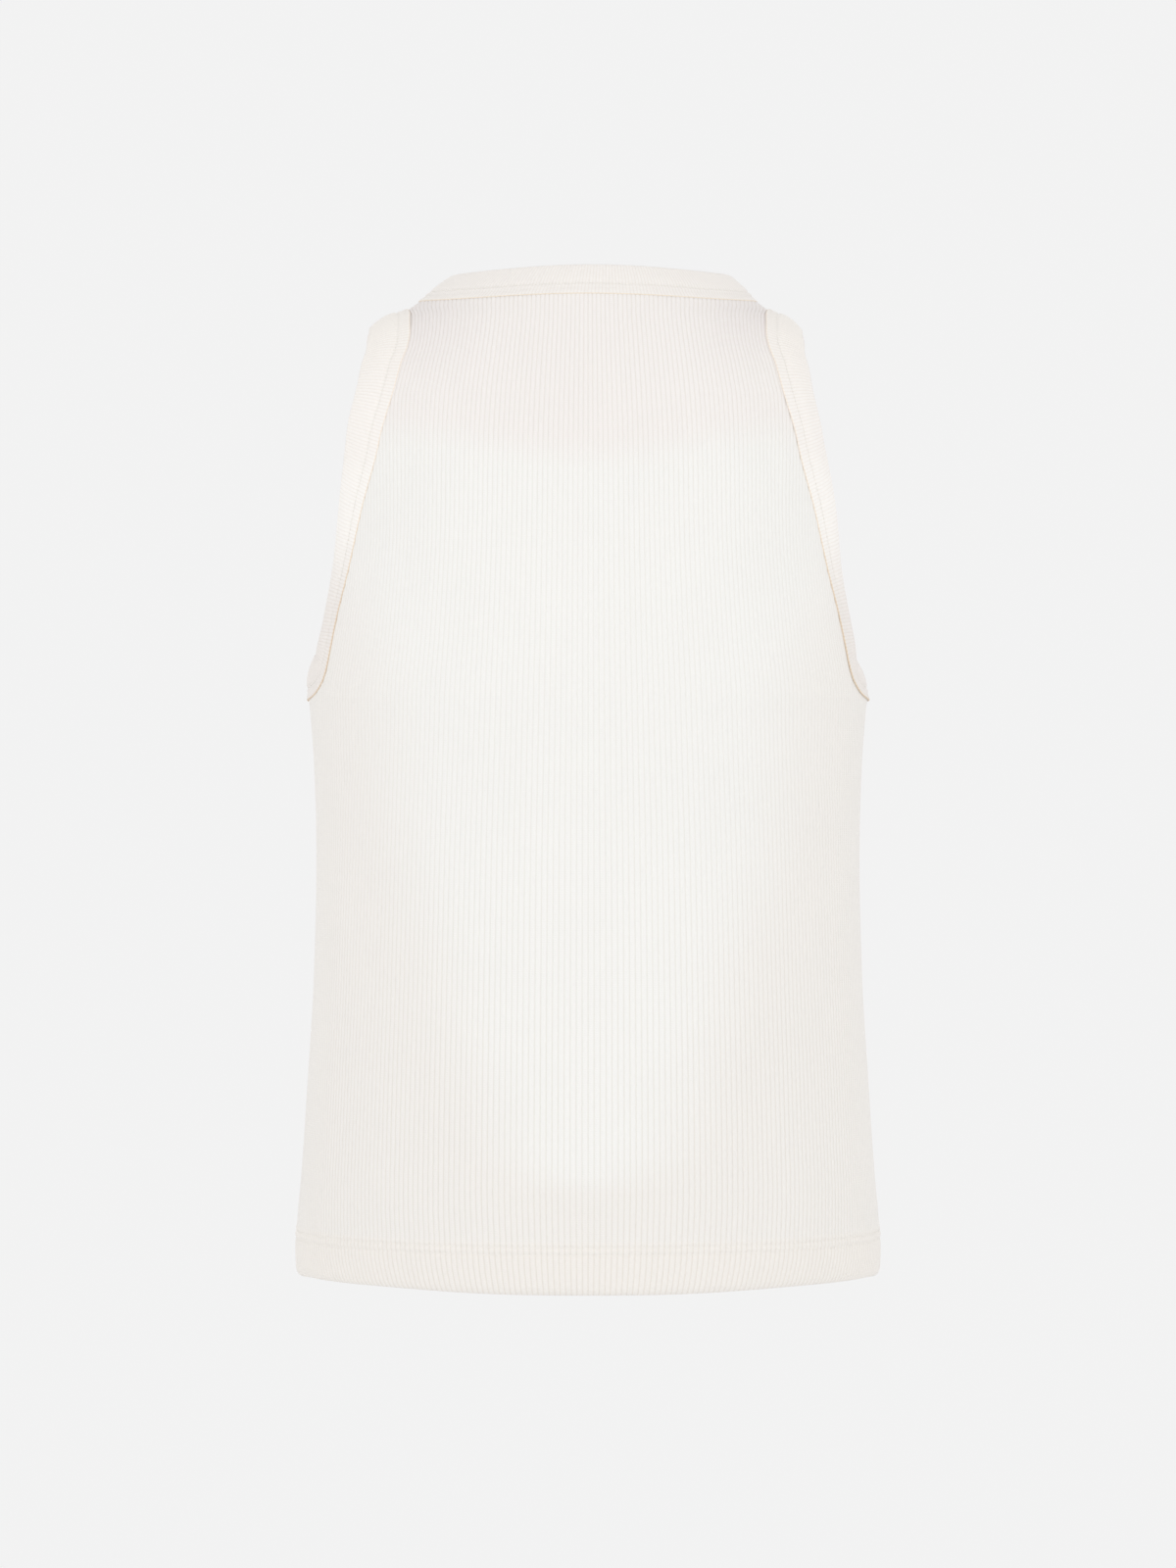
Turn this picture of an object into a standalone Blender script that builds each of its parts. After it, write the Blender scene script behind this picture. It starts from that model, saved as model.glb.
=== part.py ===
"""Ribbed tank top, standing filled out as if worn: hollow, open at neck, armholes and hem.

The cloth is five pieces: a back and a front panel, a neck binding and two armhole bindings.
All of them lie on one smooth form, a stack of rounded rings whose sizes are in SECTIONS.
+Z is up, the garment's back faces +Y, and the origin is midway between the shoulder straps.
"""
import bpy
import numpy as np

MM = 0.001

# Cloth
WALL = 1.7 * MM                  # knit from its inner face to the top of a rib
RIB_DEPTH = 0.7 * MM             # how far the groove between two ribs is sunk
SEAM_GAP = 0.3 * MM              # clearance between the two panels
BINDING_GAP = 0.6 * MM           # clearance of a binding's seam edge, as both sides are polygons
RIBS_PER_HALF = 56               # ribs from the centre line to the side seam of one panel
INNER_RIBS = 4                   # the inner face is plain, with one column for this many ribs
INNER_STEP = 15.0 * MM           # or for this length of seam, whichever comes first
EDGE_STEP = 10.5 * MM            # neighbouring columns end no further apart than this on a seam

# Hem, turned up inside and stitched
HEM_HEIGHT = -558.0 * MM
HEM_DEPTH = 24.0 * MM
HEM_STEP = 2.0 * MM              # height over which the doubled hem falls back to one layer
HEM_PROUD = 0.9 * MM             # how far the doubled hem stands out of the panel

# Neck binding
NECK_SEAM_HALF_WIDTH = 94.0 * MM     # seam of binding and panels, where it crosses the shoulder
NECK_SEAM_HEIGHT = 2.0 * MM
NECK_SEAM_BACK_DROP = 3.5 * MM       # centre back below the shoulder, at the seam
NECK_SEAM_FRONT_DROP = 94.0 * MM     # centre front below the shoulder, at the seam
NECK_EDGE_HALF_WIDTH = 78.6 * MM     # the binding's free edge, round the neck
NECK_EDGE_HEIGHT = 15.0 * MM
NECK_EDGE_BACK_DROP = 0.0
NECK_EDGE_FRONT_DROP = 88.0 * MM
NECK_CURVE = 1.3                 # 1 is a half ellipse; more eases the scoop away from the shoulder

# Armhole bindings
ARM_BAND_WIDTH = 22.5 * MM
ARM_BAND_TUCK = 1.5 * MM         # how far the free edge leans in towards the body
UNDERARM_HEIGHT = -226.0 * MM
SHOULDER_HEIGHT = -3.0 * MM

# Bindings
BAND_WALL = 2.8 * MM
BAND_PROUD = 0.5 * MM            # how far a binding stands out of the panel beside it
NECK_BAND_COLUMNS = (28, 40)     # round the back, round the front
ARM_BAND_COLUMNS = 64

# The form, one row for each height, in millimetres. Depths are from the shoulder line.
# roundness 2 is an ellipse, more is squarer and less is more pointed at the sides.
# rib_pitch is the width of one rib on the centre line.
SECTION_COLUMNS = ("height", "half_width", "back_depth", "front_depth", "roundness", "rib_pitch")
SECTIONS = (
    (15.0, 78.6, 54.5, 40.0, 2.20, 2.52),
    (2.0, 94.0, 62.5, 44.5, 2.00, 2.57),
    (-3.0, 102.8, 65.0, 46.0, 2.00, 2.59),
    (-12.0, 119.0, 69.0, 48.5, 2.00, 2.62),
    (-20.0, 131.5, 72.8, 51.0, 2.00, 2.68),
    (-32.0, 144.0, 78.0, 55.0, 2.05, 2.79),
    (-52.0, 151.0, 86.0, 62.5, 2.18, 2.87),
    (-75.0, 147.0, 93.0, 71.0, 2.30, 2.91),
    (-116.0, 142.5, 102.0, 87.0, 2.30, 2.97),
    (-155.0, 146.0, 107.0, 100.0, 2.30, 3.03),
    (-181.0, 151.0, 108.5, 108.0, 2.30, 3.09),
    (-203.0, 158.0, 108.0, 113.0, 2.30, 3.13),
    (-226.0, 161.3, 106.5, 116.0, 2.30, 3.18),
    (-267.0, 157.0, 101.5, 116.0, 2.20, 3.30),
    (-318.0, 155.0, 96.5, 110.0, 2.10, 3.43),
    (-385.0, 156.5, 98.5, 105.5, 2.10, 3.50),
    (-441.0, 160.0, 104.5, 105.0, 2.10, 3.52),
    (-497.0, 164.5, 110.0, 106.0, 2.20, 3.55),
    (-531.0, 168.0, 112.0, 106.0, 2.20, 3.43),
    (-558.0, 167.2, 112.0, 105.0, 2.20, 3.21),
)

# Half widths of the seam that joins the armhole binding to the panels, in millimetres.
ARMHOLE_COLUMNS = ("height", "back_half_width", "front_half_width")
ARMHOLE = (
    (-3.0, 102.8, 102.8),
    (-16.0, 103.9, 103.7),
    (-30.0, 105.9, 105.4),
    (-52.0, 110.3, 109.3),
    (-75.0, 116.3, 113.8),
    (-116.0, 126.2, 121.0),
    (-155.0, 134.8, 128.0),
    (-181.0, 141.6, 134.0),
    (-208.0, 150.5, 146.5),
    (-226.0, 161.3, 161.3),
)

# The ribs' paths spread towards the sides as if they ran up to a shoulder of this half width.
# They lean less and less on the way up and splay out over the shoulder, so that each one
# crosses the armhole seam once.
SHOULDER_REACH = 135.0 * MM
SHOULDER_EASE = 1.8              # 1 is a straight lean; more is straighter near the shoulder
SHOULDER_SPLAY = 45.0 * MM       # as if for a rib at the side seam; far less nearer the centre
SPLAY_HEIGHT = 17.0 * MM         # the splay begins this far below the shoulder

# Rows of points across a panel: level ones up to the armholes, then some more on each rib up
# to its seam, spaced both by length and by how far the surface turns, so closer at the shoulder.
LEVEL_ROWS = (-430.0 * MM, -330.0 * MM, -240.0 * MM)
UPPER_ROWS = 6
ROW_LENGTH = 120.0 * MM          # this length of rib counts as much as
ROW_TURN = 0.3                   # this turn of the surface, in radians
RIB_SAMPLES = 241                # points along a rib from which its rows are spaced

BACK = 1.0
FRONT = -1.0

KNIT_COLOUR = (0.905, 0.885, 0.850, 1.0)
BINDING_COLOUR = (0.915, 0.895, 0.865, 1.0)


# ---- the form ----

def smooth_curve(knots, values, at):
    """Cubic through the knots that never overshoots: level where the values turn back."""
    order = np.argsort(knots)
    x = np.asarray(knots, float)[order]
    y = np.asarray(values, float)[order]
    step = np.diff(x)
    rise = np.diff(y) / step
    slope = np.zeros_like(y)
    slope[0] = rise[0]
    slope[-1] = rise[-1]
    turning = rise[:-1] * rise[1:] <= 0.0
    safe = np.where(turning, 1.0, rise[:-1] + rise[1:])
    slope[1:-1] = np.where(turning, 0.0, 2.0 * rise[:-1] * rise[1:] / safe)
    at = np.clip(at, x[0], x[-1])
    i = np.clip(np.searchsorted(x, at, side="right") - 1, 0, len(x) - 2)
    t = (at - x[i]) / step[i]
    return (y[i] * (1.0 + 2.0 * t) * (1.0 - t) ** 2
            + y[i + 1] * t * t * (3.0 - 2.0 * t)
            + step[i] * t * (1.0 - t) * (slope[i] * (1.0 - t) - slope[i + 1] * t))


def section(column, height):
    """One named column of SECTIONS at any height."""
    rows = np.array(SECTIONS)
    values = rows[:, SECTION_COLUMNS.index(column)]
    scale = 1.0 if column == "roundness" else MM
    return smooth_curve(rows[:, 0] * MM, values, height) * scale


def armhole_half_width(side, height):
    """Half width of the armhole seam on the back or the front, at any height."""
    rows = np.array(ARMHOLE) * MM
    name = "back_half_width" if side == BACK else "front_half_width"
    return smooth_curve(rows[:, 0], rows[:, ARMHOLE_COLUMNS.index(name)], height)


def form_depth(side, x, z):
    """Distance of the form from the shoulder line, at a place seen from the front."""
    power = section("roundness", z)
    across = np.clip(np.abs(x) / section("half_width", z), 0.0, 1.0)
    depth = section("back_depth" if side == BACK else "front_depth", z)
    return depth * (1.0 - across ** power) ** (1.0 / power)


def on_form(side, x, z):
    """Points of the form, as an array with x, y and z last."""
    y = side * form_depth(side, x, z)
    return np.stack([x, y, z + 0.0 * x], axis=-1)


def outward(points):
    """Unit normals of the form: the gradient of (x/half_width)^n + (y/depth)^n."""
    def level(p):
        x, y, z = p[..., 0], p[..., 1], p[..., 2]
        power = section("roundness", z)
        depth = np.where(y >= 0.0, section("back_depth", z), section("front_depth", z))
        wide = (np.abs(x) / section("half_width", z)) ** power
        return wide + (np.abs(y) / depth) ** power

    reach = 0.2 * MM
    gradient = np.stack([level(points + shift) - level(points - shift)
                         for shift in np.eye(3) * reach], axis=-1)
    return gradient / np.linalg.norm(gradient, axis=-1, keepdims=True)


# ---- seams ----

def neck_dip(side, across, back_drop, front_drop):
    """How far a neckline hangs below the shoulder, with across from 0 at centre to 1."""
    drop = back_drop if side == BACK else front_drop
    return drop * (1.0 - across ** 2) ** (NECK_CURVE / 2.0)


def neck_seam_height(side, x):
    """Height of the neck seam above a place seen from the front, or far above the garment."""
    across = np.clip(np.abs(x) / NECK_SEAM_HALF_WIDTH, 0.0, 1.0)
    dip = neck_dip(side, across, NECK_SEAM_BACK_DROP, NECK_SEAM_FRONT_DROP)
    return np.where(across < 1.0, NECK_SEAM_HEIGHT - dip, 1.0)


def neck_loop(half_width, height, back_drop, front_drop):
    """A neckline as a closed loop on the form: round the back, then down round the front."""
    angle = np.linspace(0.0, np.pi, 721)
    halves = []
    for side, count in zip((BACK, FRONT), NECK_BAND_COLUMNS):
        across = side * np.cos(angle)
        dip = neck_dip(side, np.abs(across), back_drop, front_drop)
        halves.append(spaced(on_form(side, half_width * across, height - dip), count))
    return np.concatenate(halves)


def armhole_loop(hand):
    """The armhole seam as a closed loop on the form: up the back and down the front."""
    turn = np.linspace(0.0, np.pi, 721)
    height = UNDERARM_HEIGHT + (SHOULDER_HEIGHT - UNDERARM_HEIGHT) * (1.0 - np.cos(turn)) / 2.0
    up, down = (on_form(side, armhole_half_width(side, height), height) for side in (BACK, FRONT))
    loop = spaced(np.concatenate([up, down[::-1]]), ARM_BAND_COLUMNS)
    return loop * np.array([hand, 1.0, 1.0])


def spaced(line, count):
    """Points at even distances along a line, from its start and leaving out its end."""
    length = np.concatenate([[0.0], np.cumsum(np.linalg.norm(np.diff(line, axis=0), axis=1))])
    at = np.linspace(0.0, length[-1], count, endpoint=False)
    return np.stack([np.interp(at, length, line[:, k]) for k in range(3)], axis=-1)


# ---- panels ----

def rib_half_width(share, z):
    """Where a rib runs, seen from the front: share is 0 at the centre and 1 at the side seam."""
    rise = np.clip((z - UNDERARM_HEIGHT) / (SHOULDER_HEIGHT - UNDERARM_HEIGHT), 0.0, 1.0)
    underarm = section("half_width", UNDERARM_HEIGHT)
    above = SHOULDER_REACH + (underarm - SHOULDER_REACH) * (1.0 - rise) ** SHOULDER_EASE
    reach = np.where(z > UNDERARM_HEIGHT, above, section("half_width", z))
    spread = section("rib_pitch", z) * RIBS_PER_HALF
    bend = spread - reach * np.pi / 2.0
    over = np.clip(1.0 + (z - SHOULDER_HEIGHT) / SPLAY_HEIGHT, 0.0, 1.0)
    return (reach * np.sin(share * np.pi / 2.0) + bend * share * (1.0 - share) ** 2
            + SHOULDER_SPLAY * over ** 2 * share ** 4)


def inside_panel(side, share, z):
    """True where a rib at this height is below the neck seam and inside the armhole seam."""
    x = rib_half_width(share, z)
    below_neck = z < neck_seam_height(side, x)
    in_armhole = (x < armhole_half_width(side, z)) & (x < section("half_width", z))
    return below_neck & (in_armhole | (z < UNDERARM_HEIGHT))


def rib_top(side, share):
    """Height at which each rib meets its seam, by halving the interval."""
    low = np.full(share.shape, HEM_HEIGHT)
    high = np.full(share.shape, NECK_EDGE_HEIGHT)
    for _ in range(40):
        middle = (low + high) / 2.0
        inside = inside_panel(side, share, middle)
        low = np.where(inside, middle, low)
        high = np.where(inside, high, middle)
    return low


def panel_lines(side, share):
    """Points of the form along each rib, in rows from the hem up to the seam it meets."""
    hem = HEM_HEIGHT + np.array([0.0, HEM_DEPTH, HEM_DEPTH + HEM_STEP])
    level = np.concatenate([hem, LEVEL_ROWS])[:, None] + np.zeros_like(share)
    z = level[-1] + np.linspace(0.0, 1.0, RIB_SAMPLES)[:, None] * (rib_top(side, share) - level[-1])
    line = on_form(side, rib_half_width(share, z), z)
    step = np.linalg.norm(np.diff(line, axis=0), axis=2) / ROW_LENGTH
    turn = np.linalg.norm(np.diff(outward(line), axis=0), axis=2) / ROW_TURN
    measure = np.concatenate([np.zeros((1, len(share))), np.cumsum(step + turn, axis=0)])
    rows = np.linspace(0.0, 1.0, UPPER_ROWS + 1)[1:]
    upper = [np.interp(rows * measure[-1, k], measure[:, k], z[:, k]) for k in range(len(share))]
    height = np.concatenate([level, np.stack(upper, axis=1)])
    return on_form(side, rib_half_width(share, height), height)


def panel(name, side, material):
    """A back or front panel: ribs raised in its outer points, over a plain inner face."""
    half, kept_half = rib_columns(side)
    place = np.concatenate([-half[:0:-1], half])
    share = np.abs(place) / RIBS_PER_HALF
    form = panel_lines(side, share)
    form[..., 0] *= np.where(place < 0.0, -1.0, 1.0)
    form[..., 1] += side * SEAM_GAP / 2.0
    normal = outward(form)

    groove = RIB_DEPTH * np.abs(2.0 * (place % 1.0) - 1.0)
    proud = np.zeros(len(form))
    proud[:2] = HEM_PROUD
    outer = form + normal * (proud[:, None] - groove)[..., None]
    inner = form - normal * WALL
    kept = np.flatnonzero(np.concatenate([kept_half[:0:-1], kept_half]))
    return closed_wall(name, outer, inner, kept, side, material)


def rib_columns(side):
    """Columns of half a panel, counted in ribs, and which of them the inner face keeps.

    Grooves are at whole numbers and tops between. Ribs that run beside the armhole end far
    apart, so there more columns are put in.
    """
    ribs = np.arange(2 * RIBS_PER_HALF + 1) / 2.0
    fine = np.linspace(0.0, RIBS_PER_HALF, 40 * RIBS_PER_HALF + 1)
    share = fine / RIBS_PER_HALF
    top = rib_top(side, share)
    step = np.linalg.norm(np.diff(on_form(side, rib_half_width(share, top), top), axis=0), axis=1)
    length = np.concatenate([[0.0], np.cumsum(step)])
    ends = np.interp(ribs, fine, length)
    parts = np.ceil(np.diff(ends) / EDGE_STEP).astype(int)
    between = [np.linspace(ends[k], ends[k + 1], parts[k] + 1)[1:-1] for k in range(len(parts))]
    extra = np.interp(np.concatenate(between), length, fine)
    columns = np.sort(np.concatenate([ribs, extra]))

    spread = np.maximum(np.diff(np.interp(columns, fine, length)) / INNER_STEP,
                        np.diff(columns) / INNER_RIBS)
    count = np.floor(np.concatenate([[0.0], np.cumsum(spread)]))
    kept = np.diff(count, prepend=-1.0) > 0.0
    kept[-1] = True
    return columns, kept


def closed_wall(name, outer, inner, kept, side, material):
    """One closed mesh: an outer grid, an inner grid of the kept columns, and their rims.

    The inner face keeps every column along its top edge, so that both edges follow the seam.
    """
    rows, columns = outer.shape[:2]
    outer_id = np.arange(rows * columns).reshape(rows, columns)
    sparse_id = rows * columns + np.arange((rows - 1) * len(kept)).reshape(rows - 1, len(kept))
    edge_id = rows * columns + sparse_id.size + np.arange(columns)
    points = np.concatenate([outer.reshape(-1, 3), inner[:-1, kept].reshape(-1, 3), inner[-1]])

    faces = grid_faces(outer_id)
    faces += [face[::-1] for face in grid_faces(sparse_id)]
    faces += grid_faces(np.stack([outer_id[-1], edge_id]))
    for k in range(len(kept) - 1):
        span = slice(kept[k], kept[k + 1] + 1)
        faces.append([sparse_id[-1, k + 1], sparse_id[-1, k], *edge_id[span]])
        faces.append([sparse_id[0, k], sparse_id[0, k + 1], *outer_id[0, span][::-1]])
    inner_sides = (np.append(sparse_id[:, 0], edge_id[0]), np.append(sparse_id[:, -1], edge_id[-1]))
    faces += grid_faces(np.stack([inner_sides[0], outer_id[:, 0]], axis=1))
    faces += grid_faces(np.stack([outer_id[:, -1], inner_sides[1]], axis=1))
    if side == BACK:
        faces = [face[::-1] for face in faces]
    return add_object(name, points, faces, material)


def grid_faces(ids):
    """Four-sided faces of a grid of point numbers."""
    corners = np.stack([ids[:-1, :-1], ids[:-1, 1:], ids[1:, 1:], ids[1:, :-1]], axis=-1)
    return corners.reshape(-1, 4).tolist()


# ---- bindings ----

def binding(name, seam, edge, material):
    """A binding from its seam loop to its free edge loop, with six points round its section."""
    across = edge - seam
    seam = seam + across * BINDING_GAP / np.linalg.norm(across, axis=1, keepdims=True)
    middle = (seam + edge) / 2.0
    normals = [outward(line) for line in (seam, middle, edge)]
    face_out = [BAND_PROUD, BAND_PROUD, BAND_PROUD - BAND_WALL * 0.2]
    face_in = [BAND_PROUD - BAND_WALL, BAND_PROUD - BAND_WALL, BAND_PROUD - BAND_WALL * 0.8]
    lines = (seam, middle, edge)
    ring = [line + normal * height for line, normal, height in zip(lines, normals, face_out)]
    ring += [line + normal * height
             for line, normal, height in list(zip(lines, normals, face_in))[::-1]]
    points = np.stack(ring)
    count, around = points.shape[:2]
    ids = np.arange(count * around).reshape(count, around)
    closed = np.concatenate([ids, ids[:1]], axis=0)
    closed = np.concatenate([closed, closed[:, :1]], axis=1)
    faces = grid_faces(closed)
    if enclosed_volume(points.reshape(-1, 3), faces) < 0.0:
        faces = [face[::-1] for face in faces]
    return add_object(name, points.reshape(-1, 3), faces, material)


def enclosed_volume(points, faces):
    """Signed volume of a closed mesh of four-sided faces: negative if it is inside out."""
    quads = points[np.array(faces)]
    first = np.einsum("ij,ij->i", quads[:, 0], np.cross(quads[:, 1], quads[:, 2]))
    second = np.einsum("ij,ij->i", quads[:, 0], np.cross(quads[:, 2], quads[:, 3]))
    return (first.sum() + second.sum()) / 6.0


def neck_binding(name, material):
    """The strip round the neckline, between its seam and its free edge."""
    seam = neck_loop(NECK_SEAM_HALF_WIDTH, NECK_SEAM_HEIGHT, NECK_SEAM_BACK_DROP,
                     NECK_SEAM_FRONT_DROP)
    edge = neck_loop(NECK_EDGE_HALF_WIDTH, NECK_EDGE_HEIGHT, NECK_EDGE_BACK_DROP,
                     NECK_EDGE_FRONT_DROP)
    return binding(name, seam, edge, material)


def armhole_binding(name, hand, material):
    """The strip round one armhole: the form's own tangent carried on past the seam."""
    seam = armhole_loop(hand)
    along = np.roll(seam, -1, axis=0) - np.roll(seam, 1, axis=0)
    normal = outward(seam)
    across = np.cross(normal, along) * hand
    across /= np.linalg.norm(across, axis=1, keepdims=True)
    edge = seam + across * ARM_BAND_WIDTH - normal * ARM_BAND_TUCK
    return binding(name, seam, edge, material)


# ---- objects ----

def cloth_material(name, colour):
    """Dry cotton knit: rough, with no metal in it."""
    material = bpy.data.materials.new(name)
    material.use_nodes = True
    shader = material.node_tree.nodes["Principled BSDF"]
    shader.inputs["Base Color"].default_value = colour
    shader.inputs["Roughness"].default_value = 0.9
    shader.inputs["Metallic"].default_value = 0.0
    return material


def add_object(name, points, faces, material):
    """Link a new mesh object and shade it smooth."""
    mesh = bpy.data.meshes.new(name)
    mesh.from_pydata(points.tolist(), [], faces)
    mesh.materials.append(material)
    mesh.shade_smooth()
    thing = bpy.data.objects.new(name, mesh)
    bpy.context.scene.collection.objects.link(thing)
    return thing


def main():
    for thing in list(bpy.data.objects):
        bpy.data.objects.remove(thing, do_unlink=True)
    knit = cloth_material("rib_knit", KNIT_COLOUR)
    band = cloth_material("binding_rib", BINDING_COLOUR)
    panel("back_panel", BACK, knit)
    panel("front_panel", FRONT, knit)
    neck_binding("neck_binding", band)
    armhole_binding("armhole_binding_left", 1.0, band)
    armhole_binding("armhole_binding_right", -1.0, band)


main()
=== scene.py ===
# %% [markdown]
# # A ribbed cotton tank top, filled out as if worn
# The real top is knitted rib: fine vertical ribs with narrow grooves between them. A maker cuts
# a back and a front, sews them at the shoulders and sides, binds the neck and the armholes with
# strips of the same rib, and turns up the hem.
# Here each of those pieces is one thin shell. All of them lie on one smooth form, so that they
# meet as sewn pieces do.

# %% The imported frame
import bmesh
import bpy
import numpy as np
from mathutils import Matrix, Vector


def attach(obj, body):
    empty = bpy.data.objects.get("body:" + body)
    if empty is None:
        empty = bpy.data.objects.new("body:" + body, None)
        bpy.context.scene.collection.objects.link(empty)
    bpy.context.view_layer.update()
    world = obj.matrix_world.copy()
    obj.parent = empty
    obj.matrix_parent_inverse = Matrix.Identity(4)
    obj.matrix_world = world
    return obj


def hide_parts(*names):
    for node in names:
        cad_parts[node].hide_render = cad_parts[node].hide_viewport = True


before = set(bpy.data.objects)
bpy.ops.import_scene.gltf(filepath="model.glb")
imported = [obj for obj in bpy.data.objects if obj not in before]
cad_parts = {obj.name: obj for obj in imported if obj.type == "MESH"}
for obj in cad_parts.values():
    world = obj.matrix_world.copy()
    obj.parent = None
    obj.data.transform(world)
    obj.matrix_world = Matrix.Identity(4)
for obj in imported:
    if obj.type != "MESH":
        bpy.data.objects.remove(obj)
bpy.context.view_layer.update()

# %% [markdown]
# ## The form
# A worn top has no flat faces: every level cut through it is a rounded ring. It could be
# sculpted, or draped by simulation, but a stack of rings with a named half width and depth is
# exact and easy to change. Each ring is a superellipse: the half width and the depth set its
# size, and the roundness sets how square it is.

# %% Rings of the form, in millimetres from the shoulder line
MM = 0.001
BACK, FRONT = 1.0, -1.0
SIDE_NAMES = {BACK: "back", FRONT: "front"}

FORM_COLUMNS = ("height", "half_width", "back_depth", "front_depth", "roundness")
FORM = (
    (15, 78.6, 54.5, 40, 1.9),
    (0, 96, 63.2, 45.1, 2),
    (-6.2, 104.8, 66.3, 46.9, 2),
    (-9.5, 113, 67.9, 47.8, 2),
    (-14, 123, 70, 49.1, 2),
    (-21, 135, 73.2, 51.3, 2),
    (-32, 145.5, 78, 55, 2.05),
    (-52, 151, 86, 62.5, 2.18),
    (-75, 147, 93, 71, 2.3),
    (-116, 142.5, 102, 87, 2.3),
    (-155, 146, 107, 100, 2.3),
    (-181, 151, 108.5, 108, 2.3),
    (-203, 156.6, 108, 113, 2.3),
    (-226, 159.4, 106.5, 116, 2.3),
    (-232, 158.8, 105.7, 116.2, 2.28),
    (-240, 158.1, 104.6, 116.2, 2.25),
    (-267, 156.2, 101.5, 116, 2.2),
    (-318, 155, 96.5, 110, 2.1),
    (-385, 156.5, 98.5, 105.5, 2.1),
    (-441, 159.8, 104.5, 105, 2.1),
    (-497, 163.5, 110, 106, 2.15),
    (-531, 166.2, 112, 106, 2.1),
    (-558, 166, 112, 105, 2.05),
)

# %% The form between its rings
def smooth_curve(knots, values, at):
    """A cubic between each two knots, with slopes that never overshoot the values."""
    order = np.argsort(knots)
    x, y = np.asarray(knots, float)[order], np.asarray(values, float)[order]
    step = np.diff(x)
    rise = np.diff(y) / step
    slope = np.zeros_like(y)
    slope[[0, -1]] = rise[[0, -1]]
    turning = rise[:-1] * rise[1:] <= 0.0
    safe = np.where(turning, 1.0, rise[:-1] + rise[1:])
    slope[1:-1] = np.where(turning, 0.0, 2.0 * rise[:-1] * rise[1:] / safe)
    at = np.clip(at, x[0], x[-1])
    i = np.clip(np.searchsorted(x, at, side="right") - 1, 0, len(x) - 2)
    t = (at - x[i]) / step[i]
    return (y[i] * (1.0 + 2.0 * t) * (1.0 - t) ** 2 + y[i + 1] * t * t * (3.0 - 2.0 * t)
            + step[i] * t * (1.0 - t) * (slope[i] * (1.0 - t) - slope[i + 1] * t))


def column(table, names, name, height):
    """One named column of a table in millimetres, at any height in metres."""
    rows = np.array(table)
    scale = 1.0 if name == "roundness" else MM
    return smooth_curve(rows[:, 0] * MM, rows[:, names.index(name)], height) * scale


def form(name, height):
    """Half width, depth or roundness of the form at a height."""
    return column(FORM, FORM_COLUMNS, name, height)


def on_form(side, x, z):
    """Point of the form: depth times (1 - (x / half width)^n)^(1 / n), on the back or front."""
    power = form("roundness", z)
    across = np.clip(np.abs(x) / form("half_width", z), 0.0, 1.0)
    depth = form(SIDE_NAMES[side] + "_depth", z)
    return np.stack([x + 0.0 * z, side * depth * (1.0 - across ** power) ** (1.0 / power),
                     z + 0.0 * x], axis=-1)


def unit(vectors):
    """Each vector divided by its length."""
    return vectors / np.linalg.norm(vectors, axis=-1, keepdims=True)


def outward(points):
    """Unit normal: the gradient of (x / half width)^n + (y / depth)^n, by central differences."""
    def level(p):
        x, y, z = p[..., 0], p[..., 1], p[..., 2]
        power = form("roundness", z)
        depth = np.where(y >= 0.0, form("back_depth", z), form("front_depth", z))
        return (np.abs(x) / form("half_width", z)) ** power + (np.abs(y) / depth) ** power

    shifts = np.eye(3) * 0.2 * MM
    return unit(np.stack([level(points + s) - level(points - s) for s in shifts], axis=-1))


print("widest ring:", max(row[1] for row in FORM) * 2.0, "mm")

# %% [markdown]
# ## Seam lines
# The neckline and the armholes are the edges a maker cuts. Each is a curve on the form: the
# neckline hangs from the shoulders like a flattened half ellipse. The armhole could be an ellipse
# too, but its curve is a pattern maker's, so it is a table of half widths.

# %% Neckline and armholes
HEM_HEIGHT = -555.6 * MM
UNDERARM_HEIGHT = -226.0 * MM
SHOULDER_HEIGHT = -6.2 * MM
STRAP_HEIGHT = -58.0 * MM

NECK_SEAM = {"height": 0.3 * MM, BACK: 1.3 * MM, FRONT: 92.3 * MM, "sag": 5.4 * MM}
NECK_EDGE = {"height": 14.4 * MM, BACK: -0.8 * MM, FRONT: 87.4 * MM, "sag": 3.8 * MM}
for neckline in (NECK_SEAM, NECK_EDGE):
    neckline["half_width"] = float(form("half_width", neckline["height"]))
NECK_CURVE = 1.3
FAR_ABOVE = 1.0
HALF_TURN = np.linspace(0.0, np.pi, 2881)

ARMHOLE_COLUMNS = ("height", "back", "front")
ARMHOLE = (
    (-6.2, 104.8, 104.8),
    (-12, 102, 102),
    (-23, 101.6, 101.6),
    (-30, 102.6, 102.6),
    (-40, 106, 105.6),
    (-55, 109.8, 108.8),
    (-66, 113, 111.4),
    (-79, 116.8, 114.2),
    (-92, 119.6, 116.8),
    (-120, 127.3, 122),
    (-155, 135, 128.2),
    (-181, 141.4, 134.4),
    (-200, 145.2, 140.2),
    (-208, 146.8, 143.2),
    (-215, 148.8, 146.6),
    (-219.5, 151.2, 149.8),
    (-223.4, 154.6, 153.9),
    (-226, 159.4, 159.4),
)


def armhole(side, height):
    """Half width of the armhole seam at a height, on the back or the front."""
    return column(ARMHOLE, ARMHOLE_COLUMNS, SIDE_NAMES[side], height)


def neck_dip(line, side, across):
    """Below its height by (drop + sag * across^2) * (1 - across^2)^(curve / 2)."""
    return (line[side] + line["sag"] * across ** 2) * (1.0 - across ** 2) ** (NECK_CURVE / 2.0)


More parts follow.
